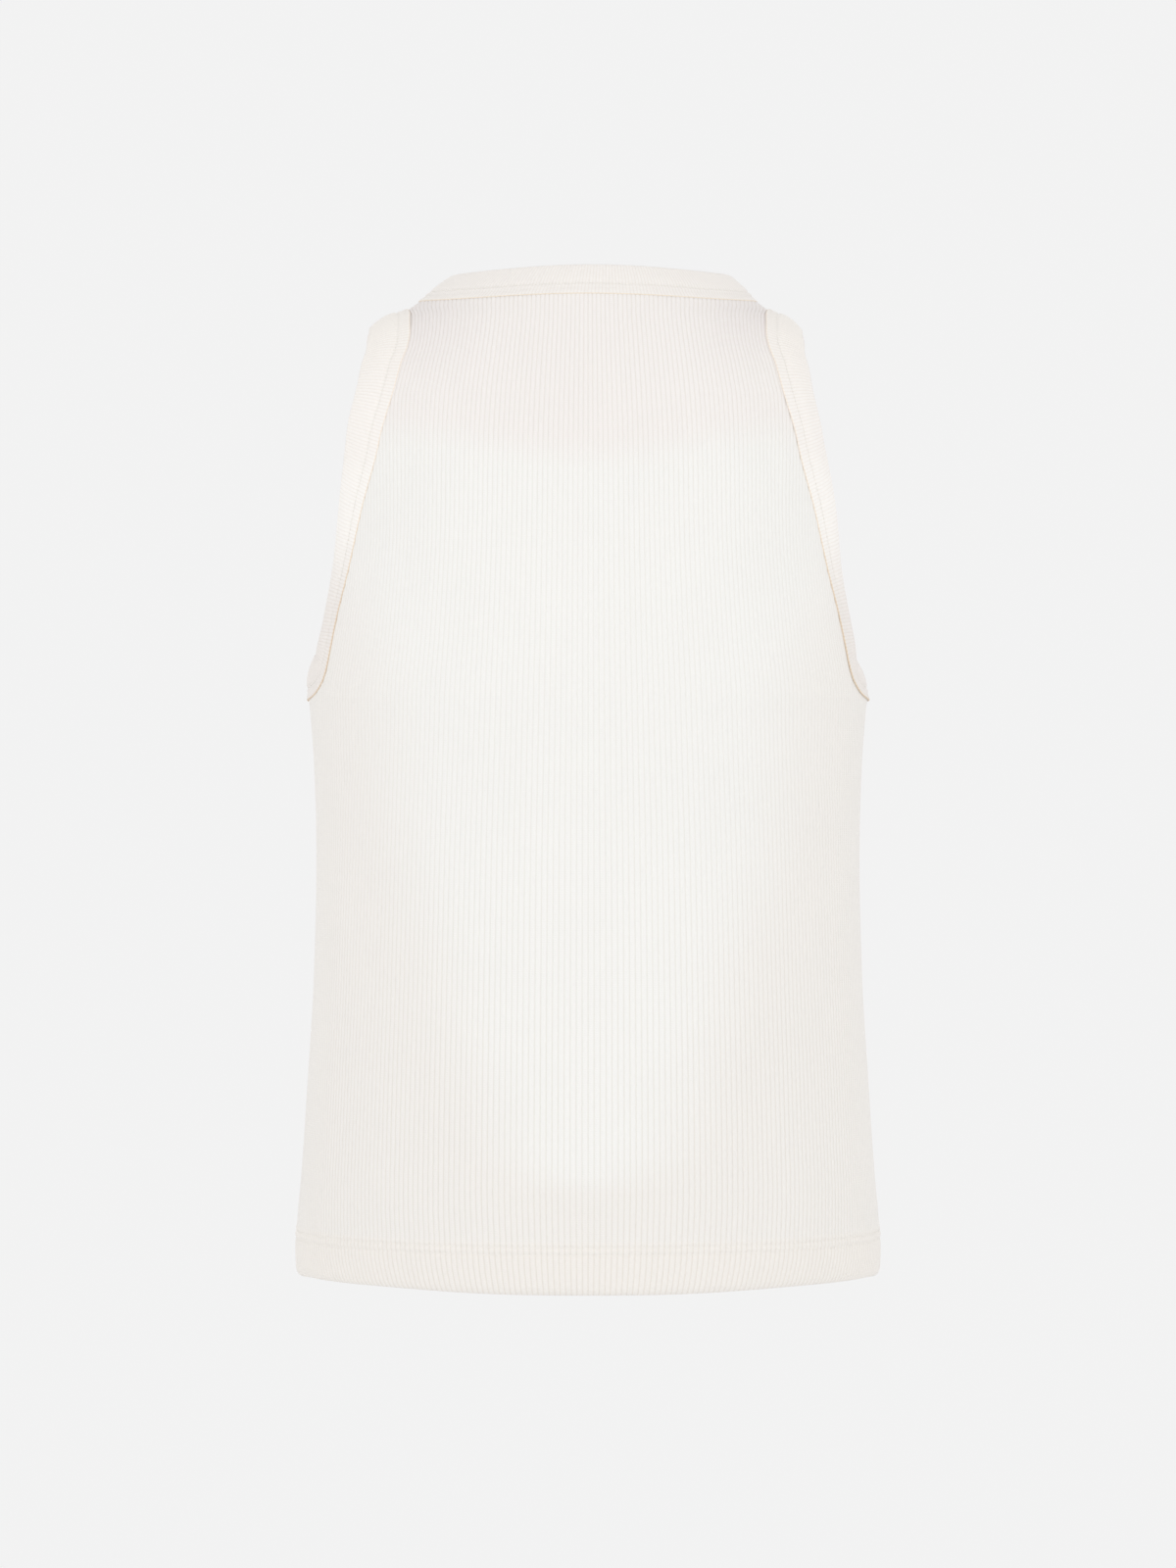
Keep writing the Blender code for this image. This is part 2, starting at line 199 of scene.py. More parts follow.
def neck_height(side, x):
    """Height of the neck seam over x, or far above the top outside it."""
    across = np.clip(np.abs(x) / NECK_SEAM["half_width"], 0.0, 1.0)
    dip = neck_dip(NECK_SEAM, side, across)
    return np.where(across < 1.0, NECK_SEAM["height"] - dip, FAR_ABOVE)

# %% The seams as closed loops
def lengths(lines):
    """How far along its line each point is, for one line or for many side by side."""
    steps = np.linalg.norm(np.diff(lines, axis=0), axis=-1)
    return np.concatenate([np.zeros_like(steps[:1]), np.cumsum(steps, axis=0)])


def points_at(at, places, points):
    """Points between those of a line, by straight interpolation over their places."""
    return np.stack([np.interp(at, places, points[:, k]) for k in range(3)], axis=-1)


def spaced(line, count):
    """Points at even distances along a line, from its start and leaving out its end."""
    length = lengths(line)
    return points_at(np.linspace(0.0, length[-1], count, endpoint=False), length, line)


def neck_loop(line, counts):
    """A neckline as a closed loop: round the back, then down round the front."""
    halves = []
    for side, count in zip(SIDE_NAMES, counts):
        across = side * np.cos(HALF_TURN)
        height = line["height"] - neck_dip(line, side, np.abs(across))
        halves.append(spaced(on_form(side, line["half_width"] * across, height), count))
    return np.concatenate(halves)


def armhole_loop(hand, count):
    """The armhole seam as a closed loop: up the back and down the front."""
    rise = (1.0 - np.cos(HALF_TURN)) / 2.0
    height = UNDERARM_HEIGHT + (SHOULDER_HEIGHT - UNDERARM_HEIGHT) * rise
    up, down = (on_form(side, armhole(side, height), height) for side in SIDE_NAMES)
    return spaced(np.concatenate([up, down[::-1]]), count) * np.array([hand, 1.0, 1.0])


def loop_length(loop):
    """Length of a closed loop of points."""
    return np.linalg.norm(np.roll(loop, -1, axis=0) - loop, axis=1).sum()


print("neck seam:", round(loop_length(neck_loop(NECK_SEAM, (400, 400))) / MM), "mm round")
print("armhole seam:", round(loop_length(armhole_loop(1.0, 800)) / MM), "mm round")

# %% [markdown]
# ## Paths of the ribs
# In knitting a rib is one column of loops, so it never ends inside a panel: it only comes closer
# to its neighbours where the cloth is less stretched. The path of each rib is a sine of its share
# of the way to the side seam, which keeps ribs even round the body, plus a small bend that gives
# the spacing wanted at the centre. Straight lines would be simpler, but would end at the waist.

# %% Where each rib runs
RIBS_PER_HALF = 75
HALVINGS = 45
ABOVE_RIBS = 20.0 * MM
RIB_COLUMNS = ("height", "pitch", "reach")
RIBS = (
    (15, 2.3, 148),
    (-12, 2.34, 151),
    (-34, 2.46, 157),
    (-58, 2.6, 156),
    (-85, 2.72, 152),
    (-138, 2.8, 147.5),
    (-190, 2.89, 153),
    (-226, 2.97, 159.4),
    (-267, 3.08, 156.2),
    (-318, 3.2, 155),
    (-385, 3.27, 156.5),
    (-441, 3.3, 159.8),
    (-497, 3.31, 163.5),
    (-531, 3.2, 166.2),
    (-558, 3.05, 166),
)


def free_rib(share, z):
    """reach * sin(share * 90 degrees) + bend * share * (1 - share)."""
    reach = np.where(z < UNDERARM_HEIGHT, form("half_width", z),
                     column(RIBS, RIB_COLUMNS, "reach", z))
    bend = column(RIBS, RIB_COLUMNS, "pitch", z) * RIBS_PER_HALF - reach * np.pi / 2.0
    return reach * np.sin(share * np.pi / 2.0) + bend * share * (1.0 - share)

# %% Where each rib meets a seam
def halving(low, high, inside):
    """Where a test turns from true to false between two arrays, by halving the interval."""
    for _ in range(HALVINGS):
        middle = (low + high) / 2.0
        test = inside(middle)
        low, high = np.where(test, middle, low), np.where(test, high, middle)
    return low


def strap_share(side):
    """Share of the rib that meets the armhole seam where the strap begins."""
    edge = armhole(side, np.array(STRAP_HEIGHT))
    return float(halving(np.array(0.0), np.array(1.0),
                         lambda s: free_rib(s, np.array(STRAP_HEIGHT)) < edge))


STRAP_SHARES = {side: strap_share(side) for side in SIDE_NAMES}


def rib_x(side, share, z):
    """The free path, stretched in the strap so that its outermost rib follows the seam."""
    limit = STRAP_SHARES[side]
    up = np.clip(z, STRAP_HEIGHT, SHOULDER_HEIGHT)
    stretch = armhole(side, up) / free_rib(limit, up) - 1.0
    near = np.clip(share / limit, 0.0, 1.0) ** 2
    return free_rib(share, z) * (1.0 + stretch * near)


def strap_start(side):
    """Share of the rib that meets the neck seam where the strap begins, 0 under a high neck."""
    def under_neck(share):
        return neck_height(side, rib_x(side, share, np.array(STRAP_HEIGHT))) < STRAP_HEIGHT

    return float(halving(np.array(0.0), np.array(STRAP_SHARES[side]), under_neck))


def rib_top(side, share):
    """Height where each rib meets the neck seam, the shoulder line or the armhole seam."""
    limit = STRAP_SHARES[side]

    def inside(z):
        x = rib_x(side, share, z)
        free = x < np.where(share <= limit, form("half_width", z), armhole(side, z))
        return (z < neck_height(side, x)) & (free | (z < UNDERARM_HEIGHT))

    return halving(np.full(share.shape, HEM_HEIGHT), np.full(share.shape, ABOVE_RIBS), inside)


for side, name in SIDE_NAMES.items():
    print(name, "ribs, centre to strap's edge:", round(STRAP_SHARES[side] * RIBS_PER_HALF, 1))

# %% [markdown]
# ## Making a mesh from grids
# Every surface below is a grid of points worked out at once. The grids of one piece share their
# edges, so merging doubles welds them into one closed skin, and the normals are then made to
# point outwards.

# %% Grids to a piece
def grid_faces(rows, columns, start):
    """Four-sided faces of a grid of points numbered row by row."""
    ids = start + np.arange(rows * columns).reshape(rows, columns)
    corners = [ids[:-1, :-1], ids[:-1, 1:], ids[1:, 1:], ids[1:, :-1]]
    return np.stack(corners, axis=-1).reshape(-1, 4)


def edge_faces(outer, inner, kept):
    """A strip from a close-set edge to a sparse one: each face spans two kept points."""
    spans = zip(kept[:-1], kept[1:], range(len(kept) - 1))
    return [[inner + k + 1, inner + k, *range(outer + a, outer + b + 1)] for a, b, k in spans]


def mesh_piece(name, mesh, material):
    """A finished mesh as a smooth-shaded piece at the origin, with its material."""
    mesh.shade_smooth()
    mesh.materials.append(material)
    piece = bpy.data.objects.new(name, mesh)
    bpy.context.scene.collection.objects.link(piece)
    return piece


def make_piece(name, grids, edges, material):
    """Joins grids of (points, uv) and edge strips of (outer, inner, kept) into one closed mesh."""
    points, uvs, faces, start = [], [], [], 0
    for grid, uv in grids:
        faces += grid_faces(*grid.shape[:2], start).tolist()
        points.append(grid.reshape(-1, 3))
        uvs.append(uv.reshape(-1, 2))
        start += points[-1].shape[0]
    for (outer, outer_uv), (inner, inner_uv), kept in edges:
        faces += edge_faces(start, start + len(outer), kept)
        points += [outer, inner]
        uvs += [outer_uv, inner_uv]
        start += len(outer) + len(inner)
    mesh = bpy.data.meshes.new(name)
    mesh.from_pydata(np.concatenate(points), [], faces)
    layer = mesh.uv_layers.new(name="knit")
    corner = np.zeros(len(mesh.loops), dtype=np.int32)
    mesh.loops.foreach_get("vertex_index", corner)
    layer.data.foreach_set("uv", np.concatenate(uvs)[corner].ravel())
    welded = bmesh.new()
    welded.from_mesh(mesh)
    bmesh.ops.remove_doubles(welded, verts=welded.verts, dist=0.002 * MM)
    bmesh.ops.dissolve_degenerate(welded, edges=welded.edges, dist=0.001 * MM)
    bmesh.ops.recalc_face_normals(welded, faces=welded.faces)
    open_edges = sum(not e.is_manifold for e in welded.edges)
    welded.to_mesh(mesh)
    welded.free()
    triangles = sum(len(p.vertices) - 2 for p in mesh.polygons)
    print(name, triangles, "triangles,", open_edges, "open edges")
    return mesh_piece(name, mesh, material)


# %% [markdown]
# ## Soft creases
# Cloth that has been worn or folded keeps a few faint creases. A cloth simulation would put them
# in places of its own, so each one here is a soft trough or ridge in a named place: a bell curve
# across it, and a longer bell curve along it.

# %% Where the creases are, in millimetres
CREASE_COLUMNS = ("side", "x", "z", "turned", "half_length", "half_width", "depth")
CREASES = (
    (BACK, 12, -225.6, 0, 9, 1.6, 0.6),
    (BACK, 119, -504, 160, 13, 2.2, 0.8),
    (BACK, -119, -504, 20, 13, 2.2, 0.8),
    (BACK, 83, -497, 95, 12, 9, 0.7),
    (BACK, -82, -497, 85, 12, 9, 0.7),
    (BACK, 0, -513, 90, 10, 12, 0.55),
    (BACK, 2, -480, 0, 105, 2.5, 0.42),
    (BACK, 10.7, -117, 65, 9, 4, 0.45),
    (BACK, -4.3, -117, 120, 9, 4, 0.45),
    (BACK, 128, -262, 128, 26, 6, 1.1),
    (BACK, -127, -264, 53, 25, 6, 1),
    (BACK, 101, -96, 100, 24, 5, 0.7),
    (BACK, -100, -92, 78, 25, 5, 0.7),
    (FRONT, 124, -252, 140, 30, 7, 1.3),
    (FRONT, -122, -255, 42, 28, 7, 1.2),
    (FRONT, 96, -500, 155, 14, 2.6, 0.8),
    (FRONT, -99, -502, 24, 13, 2.4, 0.75),
    (FRONT, 4, -476, 0, 98, 2.6, 0.42),
    (FRONT, 46, -400, 8, 32, 7, 0.6),
    (FRONT, -52, -352, 174, 30, 8, 0.6),
    (FRONT, 0, -210, 0, 26, 9, 0.7),
)


def crease_relief(side, x, z):
    """Sum of minus depth times exp(-(along / half length)^2 - (across / half width)^2)."""
    total = np.zeros(np.broadcast(x, z).shape)
    for row in CREASES:
        crease = dict(zip(CREASE_COLUMNS, row))
        if crease["side"] != side:
            continue
        angle = np.radians(crease["turned"])
        right, up = x / MM - crease["x"], z / MM - crease["z"]
        along = (right * np.cos(angle) + up * np.sin(angle)) / crease["half_length"]
        across = (up * np.cos(angle) - right * np.sin(angle)) / crease["half_width"]
        total -= crease["depth"] * MM * np.exp(-along ** 2 - across ** 2)
    return total


print(len(CREASES), "creases, the deepest", max(row[-1] for row in CREASES), "mm")

# %% [markdown]
# ## The hem
# The bottom 25 mm of each panel is folded up inside and held by two rows of stitches, so the
# doubled cloth stands a little proud, rolls in at the bottom, and dips where the stitches pull.
# A second layer would be hidden, so the shell is only thicker there and takes this relief.

# %% The hem's own shape
HEM_STITCHES = (-529.2 * MM, -533.6 * MM)
HEM_DEPTH = 25.5 * MM
HEM_ROLL_HEIGHT, HEM_ROLL_DEPTH = 5.6 * MM, 3.4 * MM
HEM_PROUD, HEM_FOLD = 0.7 * MM, 1.2 * MM
HEM_SWELL, SWELL_HEIGHT, SWELL_WIDTH = 0.35 * MM, 13.0 * MM, 8.0 * MM
HEM_LIFT, LIFT_DROPS = 1.8 * MM, (536.0 * MM, 552.0 * MM)
HEM_SHIFT, SHIFT_HEIGHT, SHIFT_REACH = 1.9 * MM, -532.0 * MM, 26.0 * MM
STITCH_DIP, DIP_WIDTH = 0.5 * MM, 0.8 * MM
STITCH_RIDGE, RIDGE_WIDTH = 0.25 * MM, 1.0 * MM


def bell(distance, width):
    """exp(-(distance / width)^2)"""
    return np.exp(-(distance / width) ** 2)


def ramp(value, low, high):
    """3 t^2 - 2 t^3, rising from 0 at low to 1 at high."""
    t = np.clip((value - low) / (high - low), 0.0, 1.0)
    return t * t * (3.0 - 2.0 * t)

# %% Relief, roll and lean of the hem
def hem_relief(z):
    """Proud below the hem's top, with a dip at each row of stitches and a swell between them."""
    above = z - HEM_HEIGHT
    proud = HEM_PROUD * ramp(-above, -HEM_DEPTH - 5.5 * MM, -HEM_DEPTH - 1.5 * MM)
    swell = HEM_SWELL * bell(above - SWELL_HEIGHT, SWELL_WIDTH)
    dips = sum(STITCH_DIP * bell(z - row, DIP_WIDTH) for row in HEM_STITCHES)
    ridge = STITCH_RIDGE * bell(z - sum(HEM_STITCHES) / 2.0, RIDGE_WIDTH)
    return proud + swell + ridge - dips


def hem_roll(z):
    """How far the bottom rolls in: an ellipse's quarter, depth * (1 - sqrt(1 - t^2))."""
    t = np.clip(1.0 - (z - HEM_HEIGHT) / HEM_ROLL_HEIGHT, 0.0, 1.0)
    return HEM_ROLL_DEPTH * (1.0 - np.sqrt(1.0 - t * t))


def hem_lift(share, z):
    """The bottom edge rises a little from the middle of each panel towards its sides."""
    low = ramp(-z, *LIFT_DROPS)
    return HEM_LIFT * low * ramp(share, 0.15, 0.6) * (1.0 - 0.8 * ramp(share, 0.85, 1.0))


def hem_shift(share, z):
    """Ribs of the doubled hem lean towards the centre going down, most half way to the side."""
    t = np.clip((SHIFT_HEIGHT - z) / SHIFT_REACH, 0.0, 1.0)
    return -HEM_SHIFT * np.sin(np.pi * share) * t * t


# %% [markdown]
# ## A panel as a thin shell
# One way to make a panel is a flat grid with a Solidify modifier. Here its outer face carries
# ribs that its inner face does not need, so both faces are worked out: the outer one with six
# columns of points a rib, the inner one with one. The rims join them, and no point is wasted.

# %% Columns and rows of a panel
RIB_STEPS = np.array([0.0, 0.10, 0.22, 0.50, 0.78, 0.90])
GROOVE_DEPTH, GROOVE_WIDTH, RIB_CROWN = 0.3 * MM, 0.13, 0.25 * MM
OPENED_HEIGHT, OPENED_REACH, OPENED_EASE = -228.0 * MM, 142.0 * MM, 0.35
CLOTH = 1.3 * MM
SEAM_GAP, SEAM_DIP = 0.3 * MM, 0.5 * MM
SEAM_AWAY, SEAM_DIP_WIDTH = 240.0, 2.2  # mm from the centre to a side seam, and of its dip

roll_angle = np.radians(np.arange(0.0, 91.0, 10.0))
roll_rows = HEM_HEIGHT + HEM_ROLL_HEIGHT * (1.0 - np.cos(roll_angle))
hem_rows = np.array([-543.0, -539.5, -537.5, -536.3]) * MM
stitch_rows = np.arange(-535.5, -525.9, 0.8) * MM
body_rows = np.concatenate([[-523.5 * MM, -519.0 * MM], np.arange(-510.0, -239.0, 10.0) * MM])
LOW_ROWS = np.concatenate([roll_rows, hem_rows, stitch_rows, body_rows])
MIDDLE_ROWS, STRAP_ROWS = 20, 24
ROW_LENGTH, ROW_TURN = 12.0 * MM, 0.12  # a length and a turn that count as one row each


def rib_places(ribs, steps):
    """Places of the columns of points, counted in ribs: every whole rib plus every step."""
    return (np.arange(ribs)[:, None] + steps).ravel()


def from_groove(place):
    """Distance in ribs to the nearest groove, which is at the nearest whole number."""
    return np.abs(place - np.round(place))


def opened(z):
    """How far the body pulls the ribs open: a bell curve round the widest part of the back."""
    return bell(z - OPENED_HEIGHT, OPENED_REACH)


def rib_groove(place, z):
    """depth * exp(-(apart / width)^2) + crown * (0.5 - apart)^2, shallower where opened."""
    apart = from_groove(place)
    groove = GROOVE_DEPTH * bell(apart, GROOVE_WIDTH) + RIB_CROWN * (0.5 - apart) ** 2
    return groove * (1.0 - OPENED_EASE * opened(z))

# %% The two faces of a patch
def spaced_rows(side, share, bottom, top, count):
    """Heights along each rib from bottom to top, closer where the form turns over."""
    t = np.linspace(0.0, 1.0, 161)[:, None]
    z = bottom + t * (top - bottom)
    line = on_form(side, rib_x(side, share + 0.0 * z, z), z)
    step = np.linalg.norm(np.diff(line, axis=0), axis=2) / ROW_LENGTH
    turn = np.linalg.norm(np.diff(outward(line), axis=0), axis=2) / ROW_TURN
    measure = np.vstack([np.zeros(len(share)), np.cumsum(step + turn, axis=0)])
    ends = np.linspace(0.0, 1.0, count + 1)
    return np.stack([np.interp(ends * measure[-1, k], measure[:, k], z[:, k])
                     for k in range(len(share))], axis=1)


def cloth_faces(side, hand, place, z):
    """Outer and inner points of a grid of ribs and heights, on the left or right half."""
    share = place / RIBS_PER_HALF + 0.0 * z
    x = rib_x(side, share, z) + hem_shift(share, z)
    base = on_form(side, x, z)
    normal = outward(base)
    base[..., 1] += side * SEAM_GAP / 2.0
    base[..., 2] += hem_lift(share, z)
    relief = hem_relief(z) - hem_roll(z) + crease_relief(side, hand * x, z)
    relief -= SEAM_DIP * bell((1.0 - share) * SEAM_AWAY, SEAM_DIP_WIDTH)
    folded = ramp(HEM_HEIGHT - z, -HEM_DEPTH - 0.5 * MM, -HEM_DEPTH + 0.5 * MM)
    outer = base + normal * (relief - rib_groove(place, z))[..., None]
    inner = base + normal * (relief - (CLOTH + HEM_FOLD * folded))[..., None]
    flip = np.array([hand, 1.0, 1.0])
    return outer * flip, inner * flip


def panel_patch(side, hand, place, z, marks):
    """One patch of a half panel: its two faces as grids, and the columns the inner one keeps."""
    outer, inner = cloth_faces(side, hand, place, z)
    kept = np.flatnonzero((from_groove(place) < 1e-9) | np.isin(place, marks))
    along = lengths(outer) + z[0] - HEM_HEIGHT
    uv = np.stack([hand * place + 0.0 * along, along / MM], axis=-1)
    grids = [(outer, uv), (inner[:, kept], uv[:, kept])]
    return grids, outer, inner, uv, kept

# %% Half a panel and its rims
def rim(face_a, face_b, uv):
    """A strip between two lines that have the same points."""
    return np.stack([face_a, face_b]), np.stack([uv, uv])


def half_panel(side, hand):
    """The lower patch of half a panel, up to the strap, and the strap's patch above it."""
    limit = STRAP_SHARES[side] * RIBS_PER_HALF
    start = strap_start(side) * RIBS_PER_HALF
    marks = [limit, start]
    ribs = np.concatenate([rib_places(RIBS_PER_HALF, RIB_STEPS), [float(RIBS_PER_HALF)], marks])
    ribs = np.unique(ribs)
    top = rib_top(side, ribs / RIBS_PER_HALF)
    strap = (ribs >= start) & (ribs <= limit)
    low_top = np.where(strap, STRAP_HEIGHT, np.minimum(top, STRAP_HEIGHT))
    low = LOW_ROWS[:, None] + np.zeros(len(ribs))
    middle = spaced_rows(side, ribs / RIBS_PER_HALF, low[-1], low_top, MIDDLE_ROWS)[1:]
    high = spaced_rows(side, ribs[strap] / RIBS_PER_HALF, low_top[strap], top[strap], STRAP_ROWS)

    grids, outer, inner, uv, kept = panel_patch(side, hand, ribs, np.vstack([low, middle]), marks)
    edges = [((outer[0], uv[0]), (inner[0, kept], uv[0, kept]), kept)]
    grids.append(rim(outer[:, -1], inner[:, -1], uv[:, -1]))
    under_arm, under_neck = np.flatnonzero(ribs > limit), np.flatnonzero(ribs < start)
    parts = [np.insert(under_arm, 0, under_arm[0] - 1)]
    if start > 0.0:
        parts.append(np.append(under_neck, under_neck[-1] + 1))
    for part in parts:
        inside = np.searchsorted(part, kept[(kept >= part[0]) & (kept <= part[-1])])
        ends = np.unique(np.concatenate([[0], inside, [len(part) - 1]]))
        few = part[ends]
        edges.append(((outer[-1, part], uv[-1, part]), (inner[-1, few], uv[-1, few]), ends))

    more, outer, inner, uv, kept = panel_patch(side, hand, ribs[strap], high, marks)
    grids += more
    grids.append(rim(outer[:, -1], inner[:, -1], uv[:, -1]))
    edges.append(((outer[-1], uv[-1]), (inner[-1, kept], uv[-1, kept]), kept))
    return grids, edges

# %% Where the painted light and the shoulders' painted shade fall
# The yoke's curved edge and the table below bound the painted light on the middle of each panel.
YOKE_EDGE, YOKE_SAG, YOKE_SPREAD = -76.0 * MM, 18.0 * MM, 75.0 * MM
PAINTED_LIGHT_FADE, YOKE_FADE = (-32.0 * MM, 32.0 * MM), (-11.0 * MM, 12.0 * MM)
# Where the painted shade over the shoulders begins, across and up.
TURN_ACROSS, TURN_UP = (45.0 * MM, 95.0 * MM), (-58.0 * MM, -12.0 * MM)
PAINTED_LIGHT_COLUMNS = ("height", "half_width")
PAINTED_LIGHT_HALF_WIDTHS = (
    (-60, 118),
    (-90, 134),
    (-115, 148),
    (-145, 144),
    (-190, 124),
    (-225, 113),
    (-300, 103),
    (-343, 92),
    (-376, 78),
    (-410, 70),
    (-443, 58),
    (-485, 38),
    (-508, -32),
    (-558, -36),
)


def pale(x, z):
    """Painted light: 1 within the table's half width and under the yoke's curved edge, fading over
    64 mm.
    """
    yoke_edge = YOKE_EDGE - YOKE_SAG * bell(x, YOKE_SPREAD)
    inside = column(PAINTED_LIGHT_HALF_WIDTHS, PAINTED_LIGHT_COLUMNS, "half_width", z) - np.abs(x)
    return ramp(inside, *PAINTED_LIGHT_FADE) * ramp(yoke_edge - z, *YOKE_FADE)


def shoulder(x, z):
    """Painted shade: 1 where the yoke turns away over the shoulders, 0 in its middle and 58 mm
    down.
    """
    return ramp(np.abs(x), *TURN_ACROSS) * ramp(z, *TURN_UP)


def panel(name, side, material):
    """A back or front panel, from its left and right halves, with its attributes."""
    left, right = half_panel(side, 1.0), half_panel(side, -1.0)
    piece = make_piece(name, left[0] + right[0], left[1] + right[1], material)
    points = np.zeros(len(piece.data.vertices) * 3)
    piece.data.vertices.foreach_get("co", points)
    x, z = points[0::3], points[2::3]
    for word, values in (("pale", pale(x, z)), ("opened", opened(z)),
                         ("shoulder", shoulder(x, z))):
        layer = piece.data.attributes.new(word, "FLOAT", "POINT")
        layer.data.foreach_set("value", values)
    return piece

# %% [markdown]
# ## Cotton rib, as a material
# Rib knit is columns of loops. The eye reads it as soft ribs with narrow, slightly darker and
# warmer grooves, a dry surface with no gloss, and a faint unevenness of the yarn. The ribs are
# real relief; the material adds painted shade in the grooves and what is finer. It reads the
# piece's own map, counted in ribs across and in millimetres along, so the pattern follows the
# cloth.

# %% One function for nodes, and colours from hex
def linear(hex_colour):
    """An sRGB hex colour as linear red, green, blue and alpha."""
    part = np.array([int(hex_colour[k:k + 2], 16) for k in (1, 3, 5)]) / 255.0
    value = np.where(part <= 0.04045, part / 12.92, ((part + 0.055) / 1.055) ** 2.4)
    return (*value.tolist(), 1.0)


def add_node(tree, kind, inputs=(), **settings):
    """Adds a node with its settings, sets or links each of its inputs, and gives its outputs."""
    node = tree.nodes.new("ShaderNode" + kind)
    for key, value in settings.items():
        setattr(node, key, value)
    for socket, value in dict(inputs).items():
        if isinstance(value, bpy.types.NodeSocket):
            tree.links.new(value, node.inputs[socket])
        else:
            node.inputs[socket].default_value = value
    return node.outputs


# %% [markdown]
# ## Painted light and shade on the cloth
# All the pieces are cut from the same cloth, but it does not look the same all over. Where the
# body fills the back its ribs open, and there the middle, where the light falls full on, is
# painted paler and more neutral as light. The yoke above it keeps the pinker base, painted darker
# as shade where it turns over the shoulders; the sides are painted darker as shade, and the hem is
# a little darker and warmer. The arm bindings are painted pale in their middle and darker as
# shade over the shoulder and towards the underarm. It could be painted on an image, but a few
# numbers say it better: the masks of the painted light and of the shoulders' painted shade, how
# far the ribs are opened, and the height.

# %% Tones of the cloth, with painted light and shade
# A tone is a first colour and steps to others: by an attribute, or between two heights in metres.
PANEL_TONE_LIGHT_AND_SHADE = ("#F0ECE9", (
    ("shoulder", "#EBE6E4"),  # painted shade on the yoke where it turns over the shoulders
    ((-0.120, -0.220), "#EEEBE7"),  # painted shade, darker at the sides below the armholes
    ("pale", "#F1F0ED"),  # painted light on the middle, paler and more neutral where the light falls full on
    ((-0.5250, -0.5285), "#EFEBE6"),  # the doubled hem
))
NECK_TONE = ("#F0ECE8", ())
# Painted light and shade on the arm bindings: painted pale in their middle, and darker as painted
# shade over the shoulder and towards the underarm.
ARMHOLE_LIGHT_AND_SHADE = ("#FAF7F3", (
    ((-0.110, -0.085), "#F7F3EF"),
    ((-0.080, -0.008), "#F2EEE9"),  # painted shade over the shoulder
    ((-0.125, -0.185), "#EEE9E5"),  # painted shade towards the underarm
))
# Painted shadow: a warm dark line on the rim of each binding's lip where it laps the panel,
# deepening on the armholes towards the underarm.
NECK_LIP_SHADOW = ("#FFF8EC", ())
ARMHOLE_LIP_SHADOW = ("#FFFAF4", (((-0.075, -0.200), "#F6E8D4"),))


def toned(tree, place, tone, ease):
    """Mixes the first colour with each step's colour in turn, by the step's share."""
    colour = linear(tone[0])
    for where, shade in tone[1]:
        if isinstance(where, str):
            share = add_node(tree, "Attribute", attribute_name=where)["Fac"]
        else:
            z = add_node(tree, "SeparateXYZ", {0: place})[2]
            share = add_node(tree, "MapRange", {0: z, 1: where[0], 2: where[1]},
                             interpolation_type=ease)[0]
        colour = add_node(tree, "Mix", {0: share, 6: colour, 7: linear(shade)},
                          data_type="RGBA")[2]
    return colour


for word, tone in (("panel", PANEL_TONE_LIGHT_AND_SHADE), ("neck", NECK_TONE), ("armhole", ARMHOLE_LIGHT_AND_SHADE)):
    print(word, "tone:", tone[0], "and", len(tone[1]), "steps")

# %% [markdown]
# ## Off-white cotton rib
# The base colour is the cloth's tone with its painted light and shade, times a painted shade in
# the groove near each whole rib, times the yarn's mottling; on the bindings, a painted shadow
# line darkens the lip's rim. The bump adds the loops, which lean like the two legs of a stitch.
# Cotton is dry, so the shader is rough, with little specular and a touch of sheen from its fuzz.

# %% The rib's shader
COTTON = {"Roughness": 0.92, "Metallic": 0.0, "IOR": 1.5, "Specular IOR Level": 0.18,
          "Sheen Weight": 0.12, "Sheen Roughness": 0.6}
LOOP_HEIGHT = 1.25  # mm along a rib for one loop, about 8 courses a centimetre
LOOP_LEAN, LOOP_BUMP, YARN_BUMP = 5.0, 0.15, 0.4
YARN_SCALE, PATCH_SCALE = 900.0, 22.0  # a metre: unevenness about 1 mm and 45 mm wide
LIP_WIDTH, LIP_FADE = 1.0, 0.4  # mm of a binding's lip rim that takes the painted shadow line


def shaded_material(name, sockets):
    """A material with the given numbers and colours on its shader's own sockets."""
    material = bpy.data.materials.new(name)
    material.use_nodes = True
    shader = material.node_tree.nodes["Principled BSDF"]
    for socket, value in sockets.items():
        shader.inputs[socket].default_value = value
    return material, material.node_tree, shader

